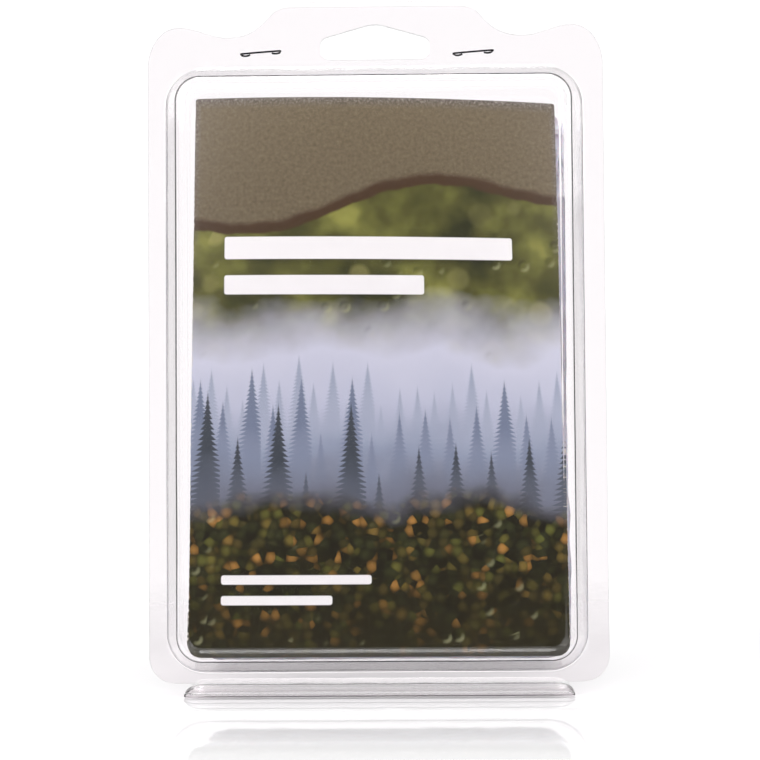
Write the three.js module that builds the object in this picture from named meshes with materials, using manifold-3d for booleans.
// A clear stand-up clamshell pack, stapled shut, with a printed card and a folded film bag inside.
// Millimetres, +Z up. The pack stands on its foot, centred on the origin, and its front looks along -Y.
// Inside the group, Y = 0 is the plane where the two halves of the pack meet.
import * as THREE from "three";
import { mergeVertices } from "three/addons/utils/BufferGeometryUtils.js";
import Module from "manifold-3d";

const wasm = await Module();
wasm.setup();

// The moulded sheet
const PACK_WIDTH = 142;
const PACK_HEIGHT = 215.7;
const SHEET = 0.8;
const SEAM = 0.3;
const RIM_OUTER = SEAM / 2 + SHEET;

// The rim, with an ear at each top corner, a dip beside it and a raised tab in the middle
const RIM_BOTTOM = 4;
const RIM_CORNER = 8;
const EAR_START = 195.5;
const EAR_WIDTH = 9.5;
const EAR_TOP = 208.1;
const DIP_X = 46.2;
const DIP_TOP = 204.8;
const TAB_NECK_X = 33.2;
const TAB_NECK_TOP = 211;
const TAB_HALF_WIDTH = 25.4;
const BACK_TAB_DROP = 1.4;
const HEADER_START = 196.5;

// The hang slot
const SLOT_HALF_WIDTH = 17.1;
const SLOT_BOTTOM = 197.5;
const SLOT_SHOULDER = 204.1;
const SLOT_PEAK = 208.9;

// The trays
const TRAY_HALF_WIDTH = 65.35;
const TRAY_BOTTOM = 7.3;
const TRAY_TOP = 195.5;
const TRAY_CORNER = 10.6;
const FRONT_DEPTH = 12.3;
const BACK_DEPTH = 17;
const CORNER_STEPS = 8;

// The foot, folded from the hinge strip
const FOOT_HALF_WIDTH = 60;
const FOOT_FRONT = -3;
const FOOT_HEIGHT = RIM_BOTTOM - SEAM;
const FOOT_BEND = 1;

// The card: it stands in the front tray, leans back and bows forward in the middle of its top
const CARD_HALF_WIDTH_BOTTOM = 58;
const CARD_HALF_WIDTH_TOP = 56.6;
const CARD_BOTTOM = 13.2;
const CARD_TOP = 185.6;
const CARD_TOP_SLOPE = 0.9;
const CARD_THICKNESS = 0.6;
const CARD_FOOT_Y = -10.3;
const CARD_LEAN = 16.3;
const CARD_BOW = 6.5;
const CARD_TWIST = 2;
const CARD_CORNER = 4;

// The folded bag
const BAG_BOTTOM = 10.4;
const BAG_FOOT_RISE = 2.4;
const BAG_TOP = 180;
const BAG_BACK = 15;
const BAG_CORNER_LOW = 7;
const BAG_CORNER_HIGH = 3;
const BAG_SEAT = 0.35;
const PANELS = 8;
const PANEL_STEP = 1 / PANELS;
const PANEL_HALF = 0.36 * PANEL_STEP;
const BEND_LENGTH = 1.1;
const BEND_HALF = 0.75;

// The staples, of flat wire
const STAPLE_HALF = 6.45;
const WIRE_THICKNESS = 0.5;
const WIRE_WIDTH = 0.6;
const CLINCH = 3.2;
const LEG_HOLE_RADIUS = 0.7;
const STAPLES = [
  { name: "staple_left", x: -35.7, z: 200, tilt: 4.2 },
  { name: "staple_right", x: 30.7, z: 199.6, tilt: 4.2 },
];

// A solid from a closed geometry, and back.
function toSolid(geometry) {
  const bare = new THREE.BufferGeometry();
  bare.setAttribute("position", geometry.getAttribute("position"));
  if (geometry.index) bare.setIndex(geometry.index);
  const merged = mergeVertices(bare, 1e-4);
  return new wasm.Manifold(
    new wasm.Mesh({
      numProp: 3,
      vertProperties: new Float32Array(merged.attributes.position.array),
      triVerts: new Uint32Array(merged.index.array),
    }),
  );
}

function toGeometry(solid) {
  const mesh = solid.getMesh();
  const geometry = new THREE.BufferGeometry();
  geometry.setAttribute("position", new THREE.BufferAttribute(mesh.vertProperties, 3));
  geometry.setIndex(new THREE.BufferAttribute(mesh.triVerts, 1));
  return geometry;
}

// A closed skin over a row of loops with equal numbers of points. The loops run counter-clockwise
// seen from the last one; the two ends are closed by faces cut from the loops' own outlines.
function loft(loops, flatten) {
  const count = loops[0].length;
  const positions = loops.flat().flatMap((p) => [p.x, p.y, p.z]);
  const index = [];
  for (let k = 0; k < loops.length - 1; k++) {
    for (let i = 0; i < count; i++) {
      const a = k * count + i;
      const b = k * count + ((i + 1) % count);
      index.push(a, b, b + count, a, b + count, a + count);
    }
  }
  const last = (loops.length - 1) * count;
  const endFaces = (loop) => THREE.ShapeUtils.triangulateShape(loop.map(flatten), []);
  for (const [a, b, c] of endFaces(loops[0])) index.push(c, b, a);
  for (const [a, b, c] of endFaces(loops[loops.length - 1])) index.push(last + a, last + b, last + c);
  const geometry = new THREE.BufferGeometry();
  geometry.setAttribute("position", new THREE.Float32BufferAttribute(positions, 3));
  geometry.setIndex(index);
  return geometry;
}

// A closed outline through corners, each rounded by its radius.
function roundedOutline(corners) {
  const path = new THREE.Shape();
  corners.forEach((corner, i) => {
    const here = new THREE.Vector2(corner.x, corner.y);
    const before = corners.at(i - 1);
    const after = corners[(i + 1) % corners.length];
    const towards = (to) => new THREE.Vector2(to.x, to.y).sub(here).setLength(corner.radius).add(here);
    const start = corner.radius ? towards(before) : here;
    if (i === 0) path.moveTo(start.x, start.y);
    else path.lineTo(start.x, start.y);
    if (corner.radius) {
      const end = towards(after);
      path.quadraticCurveTo(here.x, here.y, end.x, end.y);
    }
  });
  path.closePath();
  return path;
}

// An upright plate of the outline, between two planes of Y.
function plate(outline, yLow, yHigh, curveSegments = 8) {
  const geometry = new THREE.ExtrudeGeometry(outline, {
    depth: yHigh - yLow,
    bevelEnabled: false,
    curveSegments,
  });
  return geometry.rotateX(Math.PI / 2).translate(0, yHigh, 0);
}

function block(xSize, ySize, zSize, zLow) {
  return toSolid(new THREE.BoxGeometry(xSize, ySize, zSize).translate(0, 0, zLow + zSize / 2));
}

function rimOutline() {
  const half = PACK_WIDTH / 2;
  const outline = new THREE.Shape();
  outline.moveTo(-half + RIM_CORNER, RIM_BOTTOM);
  outline.lineTo(half - RIM_CORNER, RIM_BOTTOM);
  outline.absarc(half - RIM_CORNER, RIM_BOTTOM + RIM_CORNER, RIM_CORNER, -Math.PI / 2, 0);
  outline.lineTo(half, EAR_START);
  const earX = half - EAR_WIDTH;
  const earHeight = EAR_TOP - EAR_START;
  outline.absellipse(earX, EAR_START, EAR_WIDTH, earHeight, 0, Math.PI / 2);
  outline.bezierCurveTo(earX - 5.5, EAR_TOP, DIP_X + 5, DIP_TOP, DIP_X, DIP_TOP);
  outline.bezierCurveTo(DIP_X - 6.5, DIP_TOP, TAB_NECK_X + 3, TAB_NECK_TOP - 3.5, TAB_NECK_X, TAB_NECK_TOP);
  outline.bezierCurveTo(
    TAB_NECK_X - 2.8,
    TAB_NECK_TOP + 3.3,
    TAB_HALF_WIDTH + 4,
    PACK_HEIGHT,
    TAB_HALF_WIDTH,
    PACK_HEIGHT,
  );
  outline.lineTo(-TAB_HALF_WIDTH, PACK_HEIGHT);
  outline.bezierCurveTo(
    -TAB_HALF_WIDTH - 4,
    PACK_HEIGHT,
    -TAB_NECK_X + 2.8,
    TAB_NECK_TOP + 3.3,
    -TAB_NECK_X,
    TAB_NECK_TOP,
  );
  outline.bezierCurveTo(-TAB_NECK_X - 3, TAB_NECK_TOP - 3.5, -DIP_X + 6.5, DIP_TOP, -DIP_X, DIP_TOP);
  outline.bezierCurveTo(-DIP_X - 5, DIP_TOP, -earX + 5.5, EAR_TOP, -earX, EAR_TOP);
  outline.absellipse(-earX, EAR_START, EAR_WIDTH, earHeight, Math.PI / 2, Math.PI);
  outline.lineTo(-half, RIM_BOTTOM + RIM_CORNER);
  outline.absarc(-half + RIM_CORNER, RIM_BOTTOM + RIM_CORNER, RIM_CORNER, Math.PI, 1.5 * Math.PI);
  return outline;
}

function slotOutline() {
  return roundedOutline([
    { x: -SLOT_HALF_WIDTH, y: SLOT_BOTTOM, radius: 3.4 },
    { x: SLOT_HALF_WIDTH, y: SLOT_BOTTOM, radius: 3.4 },
    { x: SLOT_HALF_WIDTH, y: SLOT_SHOULDER, radius: 2.5 },
    { x: 0, y: SLOT_PEAK, radius: 3 },
    { x: -SLOT_HALF_WIDTH, y: SLOT_SHOULDER, radius: 2.5 },
  ]);
}

// One loop of a tray: a rounded rectangle, drawn in from the tray's root by the inset.
function trayLoop(side, inset, depth) {
  const halfWidth = TRAY_HALF_WIDTH - inset;
  const low = TRAY_BOTTOM + inset;
  const high = TRAY_TOP - inset;
  const radius = Math.max(TRAY_CORNER - inset, 1.5);
  const corners = [
    { x: halfWidth - radius, z: low + radius, from: -Math.PI / 2 },
    { x: halfWidth - radius, z: high - radius, from: 0 },
    { x: -halfWidth + radius, z: high - radius, from: Math.PI / 2 },
    { x: -halfWidth + radius, z: low + radius, from: Math.PI },
  ];
  const loop = [];
  for (const corner of corners) {
    for (let i = 0; i <= CORNER_STEPS; i++) {
      const angle = corner.from + ((i / CORNER_STEPS) * Math.PI) / 2;
      const x = corner.x + radius * Math.cos(angle);
      const z = corner.z + radius * Math.sin(angle);
      loop.push(new THREE.Vector3(x, side * depth, z));
    }
  }
  return side < 0 ? loop : loop.reverse();
}

// The outer face of a tray's wall, from its root at the rim to its raised front panel.
function trayProfile(depth) {
  return [
    { inset: 0, depth: RIM_OUTER },
    { inset: 0.9, depth: RIM_OUTER + 0.45 },
    { inset: 1.3, depth: RIM_OUTER + 1.35 },
    { inset: 3, depth: depth - 3.3 },
    { inset: 3.6, depth: depth - 1.9 },
    { inset: 4.9, depth: depth - 1 },
    { inset: 6.3, depth: depth - 0.8 },
    { inset: 7.6, depth },
  ];
}

// The same profile moved inwards by the sheet's thickness.
function innerProfile(profile) {
  return profile.map((row, i) => {
    const before = profile[Math.max(i - 1, 0)];
    const after = profile[Math.min(i + 1, profile.length - 1)];
    const atEnd = i === 0 || i === profile.length - 1;
    const along = atEnd
      ? new THREE.Vector2(1, 0)
      : new THREE.Vector2(after.inset - before.inset, after.depth - before.depth).normalize();
    return { inset: row.inset + SHEET * along.y, depth: row.depth - SHEET * along.x };
  });
}

function trayBody(side, rows) {
  const loops = rows.map((row) => trayLoop(side, row.inset, row.depth));
  return toSolid(loft(loops, (p) => new THREE.Vector2(p.x * -side, p.z)));
}

// A half of the pack below its header: the rim with the tray moulded into it.
function shell(side, depth) {
  const near = SEAM / 2;
  const rim = toSolid(
    side < 0 ? plate(rimOutline(), -RIM_OUTER, -near) : plate(rimOutline(), near, RIM_OUTER),
  );
  const above = block(2 * PACK_WIDTH, 20, 40, HEADER_START - SEAM / 2);
  const profile = trayProfile(depth);
  const buried = { inset: 0, depth: near + SHEET / 2 };
  const mouth = { inset: 0, depth: -1 };
  const outer = trayBody(side, [buried, ...profile]);
  const inner = trayBody(side, [mouth, ...innerProfile(profile)]);
  return toGeometry(rim.subtract(above).add(outer).subtract(inner));
}

// The strip of rim above the tray, with the hang slot and a hole for each leg of the staples.
function header(side, tabDrop) {
  const outline = rimOutline();
  outline.holes.push(slotOutline());
  const near = SEAM / 2;
  let strip = toSolid(side < 0 ? plate(outline, -RIM_OUTER, -near) : plate(outline, near, RIM_OUTER));
  strip = strip.subtract(block(2 * PACK_WIDTH, 20, HEADER_START + SEAM / 2, 0));
  if (tabDrop) strip = strip.subtract(block(PACK_WIDTH, 20, 20, PACK_HEIGHT - tabDrop));
  for (const staple of STAPLES) {
    const tilt = THREE.MathUtils.degToRad(staple.tilt);
    const reach = STAPLE_HALF - WIRE_THICKNESS / 2;
    for (const leg of [-reach, reach]) {
      const hole = new THREE.CylinderGeometry(LEG_HOLE_RADIUS, LEG_HOLE_RADIUS, 10, 10);
      hole.translate(staple.x + leg * Math.cos(tilt), 0, staple.z + leg * Math.sin(tilt));
      strip = strip.subtract(toSolid(hole));
    }
  }
  return toGeometry(strip);
}

// The foot: a flat channel, open at both ends and along the seam of the pack.
function foot() {
  const back = BACK_DEPTH;
  const lip = FOOT_HEIGHT - SHEET;
  const section = roundedOutline([
    { x: FOOT_FRONT, y: 0, radius: FOOT_BEND },
    { x: back, y: 0, radius: FOOT_BEND },
    { x: back, y: FOOT_HEIGHT, radius: FOOT_BEND },
    { x: SEAM / 2, y: FOOT_HEIGHT, radius: 0 },
    { x: SEAM / 2, y: lip, radius: 0 },
    { x: back - SHEET, y: lip, radius: 0 },
    { x: back - SHEET, y: SHEET, radius: 0 },
    { x: FOOT_FRONT + SHEET, y: SHEET, radius: 0 },
    { x: FOOT_FRONT + SHEET, y: lip, radius: 0 },
    { x: -SEAM / 2, y: lip, radius: 0 },
    { x: -SEAM / 2, y: FOOT_HEIGHT, radius: 0 },
    { x: FOOT_FRONT, y: FOOT_HEIGHT, radius: FOOT_BEND },
  ]);
  const geometry = new THREE.ExtrudeGeometry(section, {
    depth: 2 * FOOT_HALF_WIDTH,
    bevelEnabled: false,
    curveSegments: 5,
  });
  const turn = new THREE.Matrix4().makeBasis(
    new THREE.Vector3(0, 1, 0),
    new THREE.Vector3(0, 0, 1),
    new THREE.Vector3(1, 0, 0),
  );
  return geometry.applyMatrix4(turn).translate(-FOOT_HALF_WIDTH, 0, 0);
}

// The Y of the card's front face.
function cardFace(x, z) {
  const rise = THREE.MathUtils.clamp((z - CARD_BOTTOM) / (CARD_TOP - CARD_BOTTOM), 0, 1);
  const across = x / CARD_HALF_WIDTH_TOP;
  return CARD_FOOT_Y + rise * (CARD_LEAN - CARD_BOW * (1 - across * across) + CARD_TWIST * across);
}

// How much of a corner's radius is missing at a height above the edge.
function cornerRelief(height, radius) {
  if (height >= radius) return 0;
  return radius - Math.sqrt(radius * radius - (radius - height) ** 2);
}

function card() {
  const levels = [0, 0.4, 1.2, 2.4, CARD_CORNER];
  const rows = 8;
  const height = CARD_TOP - CARD_BOTTOM;
  for (let i = 1; i <= rows; i++) levels.push(CARD_CORNER + ((height - CARD_CORNER) * i) / rows);
  const columns = 14;
  const loops = levels.map((level) => {
    const half =
      THREE.MathUtils.lerp(CARD_HALF_WIDTH_BOTTOM, CARD_HALF_WIDTH_TOP, level / height) -
      cornerRelief(level, CARD_CORNER);
    const front = [];
    const back = [];
    for (let i = 0; i <= columns; i++) {
      const x = half * ((2 * i) / columns - 1);
      const slope = (CARD_TOP_SLOPE * x) / CARD_HALF_WIDTH_TOP;
      const z = CARD_BOTTOM + level - (slope * level) / height;
      const y = cardFace(x, z);
      front.push(new THREE.Vector3(x, y, z));
      back.unshift(new THREE.Vector3(x, y + CARD_THICKNESS, z));
    }
    return [...front, ...back];
  });
  return loft(loops, (p) => new THREE.Vector2(p.x, p.y));
}

// The ends of the panels, front to back: seven folds between two free ends.
const BAG_ENDS = [
  { side: -1, reach: 54.5, wave: 0.3, phase: 0.4 },
  { side: 1, reach: 58.6, wave: 0.6, phase: 0 },
  { side: -1, reach: 55.2, wave: 0.5, phase: 1.1 },
  { side: 1, reach: 59, wave: 0.5, phase: 2 },
  { side: -1, reach: 54.4, wave: 0.7, phase: 3.2 },
  { side: 1, reach: 57.8, wave: 0.6, phase: 4.1 },
  { side: -1, reach: 55.6, wave: 0.4, phase: 5 },
  { side: 1, reach: 58.2, wave: 0.5, phase: 0.9 },
  { side: -1, reach: 54.8, wave: 0.4, phase: 2.6 },
];

// A point of the folded bag: x across, share from the front face to the back face, share of the height.
function bagPoint(x, share, rise) {
  const foot = BAG_BOTTOM + BAG_FOOT_RISE * Math.abs(2 * share - 1) ** 2.5;
  const head = BAG_TOP + 1.1 * Math.sin(11 * share + x / 30);
  const z = foot + rise * (head - foot);
  const front = cardFace(x, z) + CARD_THICKNESS + BAG_SEAT;
  const inside = 4 * share * (1 - share);
  const ripple = 0.5 * inside * Math.sin(x / 15 + z / 26) * Math.sin(z / 19);
  return new THREE.Vector3(x, front + share * (BAG_BACK - front) + ripple, z);
}

// The film bag: one strip of film folded back and forth into panels, a little apart.
function foldedBag() {
  const height = BAG_TOP - BAG_BOTTOM;
  const levels = [0, 1.2, 3.2, BAG_CORNER_LOW, 18, 38, 60, 84, 108, 132, 152, height - BAG_CORNER_HIGH, height];
  const panelSteps = 7;
  const bendSteps = 4;
  const loops = levels.map((level) => {
    const relief =
      cornerRelief(level, BAG_CORNER_LOW) + cornerRelief(height - level, BAG_CORNER_HIGH) * 0.7;
    const rise = level / height;
    const endAt = (end) =>
      end.side * (end.reach - relief + end.wave * Math.sin(level / 21 + end.phase));
    const right = [];
    const left = [];
    for (let i = 0; i < PANELS; i++) {
      const share = (i + 0.5) * PANEL_STEP;
      const turn = i % 2 ? -1 : 1;
      const from = endAt(BAG_ENDS[i]) - BAG_ENDS[i].side * (i ? BEND_LENGTH + BEND_HALF : 0);
      const last = i === PANELS - 1;
      const to = endAt(BAG_ENDS[i + 1]) - BAG_ENDS[i + 1].side * (last ? 0 : BEND_LENGTH + BEND_HALF);
      for (let k = 0; k <= panelSteps; k++) {
        const x = THREE.MathUtils.lerp(from, to, k / panelSteps);
        right.push(bagPoint(x, share - turn * PANEL_HALF, rise));
        left.push(bagPoint(x, share + turn * PANEL_HALF, rise));
      }
      if (last) break;
      for (let k = 1; k < bendSteps; k++) {
        const angle = -Math.PI / 2 + (k / bendSteps) * Math.PI;
        const bend = (lengthways, half) =>
          bagPoint(
            to + turn * (BEND_LENGTH + lengthways) * Math.cos(angle),
            share + PANEL_STEP / 2 + (PANEL_STEP / 2 + half) * Math.sin(angle),
            rise,
          );
        const outside = bend(BEND_HALF, PANEL_HALF);
        const inside = bend(-BEND_HALF, -PANEL_HALF);
        right.push(turn > 0 ? outside : inside);
        left.push(turn > 0 ? inside : outside);
      }
    }
    return [...right, ...left.reverse()];
  });
  return loft(loops, (p) => new THREE.Vector2(p.x, p.y));
}

// A staple: its crown lies on the front rim and its clinched legs on the back one.
function staple() {
  const outer = RIM_OUTER + SEAM + WIRE_THICKNESS;
  const inner = RIM_OUTER + SEAM;
  const legInner = STAPLE_HALF - WIRE_THICKNESS;
  const tip = STAPLE_HALF - CLINCH;
  const outline = roundedOutline([
    { x: -STAPLE_HALF, y: -outer, radius: 0.5 },
    { x: STAPLE_HALF, y: -outer, radius: 0.5 },
    { x: STAPLE_HALF, y: outer, radius: 0.5 },
    { x: tip, y: outer, radius: 0 },
    { x: tip, y: inner, radius: 0 },
    { x: legInner, y: inner, radius: 0 },
    { x: legInner, y: -inner, radius: 0 },
    { x: -legInner, y: -inner, radius: 0 },
    { x: -legInner, y: inner, radius: 0 },
    { x: -tip, y: inner, radius: 0 },
    { x: -tip, y: outer, radius: 0 },
    { x: -STAPLE_HALF, y: outer, radius: 0.5 },
  ]);
  const geometry = new THREE.ExtrudeGeometry(outline, {
    depth: WIRE_WIDTH,
    bevelEnabled: false,
    curveSegments: 4,
  });
  return geometry.translate(0, 0, -WIRE_WIDTH / 2);
}

const clearSheet = () =>
  new THREE.MeshStandardMaterial({ color: 0xeceaec, roughness: 0.08, transparent: true, opacity: 0.3 });
const printedCard = new THREE.MeshStandardMaterial({ color: 0x5f5a30, roughness: 0.35 });
const milkyFilm = new THREE.MeshStandardMaterial({ color: 0xb9bccb, roughness: 0.3 });
const steelWire = () => new THREE.MeshStandardMaterial({ color: 0x55555a, roughness: 0.3, metalness: 1 });

const pack = new THREE.Group();

function addPiece(name, geometry, material) {
  const mesh = new THREE.Mesh(geometry, material);
  mesh.name = name;
  pack.add(mesh);
  return mesh;
}

addPiece("front_shell", shell(-1, FRONT_DEPTH), clearSheet());
addPiece("back_shell", shell(1, BACK_DEPTH), clearSheet());
addPiece("front_header", header(-1, 0), clearSheet());
addPiece("back_header", header(1, BACK_TAB_DROP), clearSheet());
addPiece("hinge_foot", foot(), clearSheet());
addPiece("card", card(), printedCard);
addPiece("folded_bag", foldedBag(), milkyFilm);
for (const { name, x, z, tilt } of STAPLES) {
  const mesh = addPiece(name, staple(), steelWire());
  mesh.position.set(x, 0, z);
  mesh.rotation.y = -THREE.MathUtils.degToRad(tilt);
}
pack.position.y = (FRONT_DEPTH - BACK_DEPTH) / 2;

export default pack;
